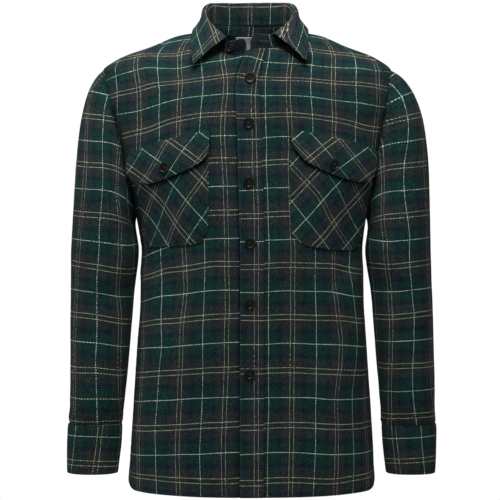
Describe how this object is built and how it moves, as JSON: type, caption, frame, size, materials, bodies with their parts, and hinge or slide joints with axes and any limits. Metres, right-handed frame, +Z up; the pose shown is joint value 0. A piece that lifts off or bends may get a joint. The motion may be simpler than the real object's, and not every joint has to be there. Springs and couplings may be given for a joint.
{
  "type": "flannel shirt",
  "caption": "Long-sleeved dark green and navy tartan flannel shirt, filled out with no wearer: spread collar open at the top, button placket, two chest pockets with pointed flaps, and cuffs.",
  "frame": {"origin": "between the two points where the shoulder lines meet the collar, where the shirt rests on its wearer", "axes": "+Z up, -Y out of the front, +X towards the wearer's left"},
  "size_m": [0.5891, 0.2218, 0.778],
  "materials": {
    "flannel": "brushed twill, checked",
    "label": "woven tape, blank",
    "button": "satin"
  },
  "bodies": {
    "root": {"right_front": "flannel", "left_front": "flannel", "placket": "flannel", "back": "flannel", "right_sleeve": "flannel", "left_sleeve": "flannel", "right_cuff": "flannel", "left_cuff": "flannel", "right_sleeve_placket": "flannel", "left_sleeve_placket": "flannel", "collar_stand": "flannel", "collar": "flannel", "right_pocket": "flannel", "left_pocket": "flannel", "right_flap": "flannel", "left_flap": "flannel", "neck_label": "label", "button_front_1": "button", "button_front_2": "button", "button_front_3": "button", "button_front_4": "button", "button_front_5": "button", "button_front_6": "button", "button_collar": "button", "button_right_flap": "button", "button_left_flap": "button", "button_right_cuff": "button", "button_left_cuff": "button"}
  },
  "joints": []
}
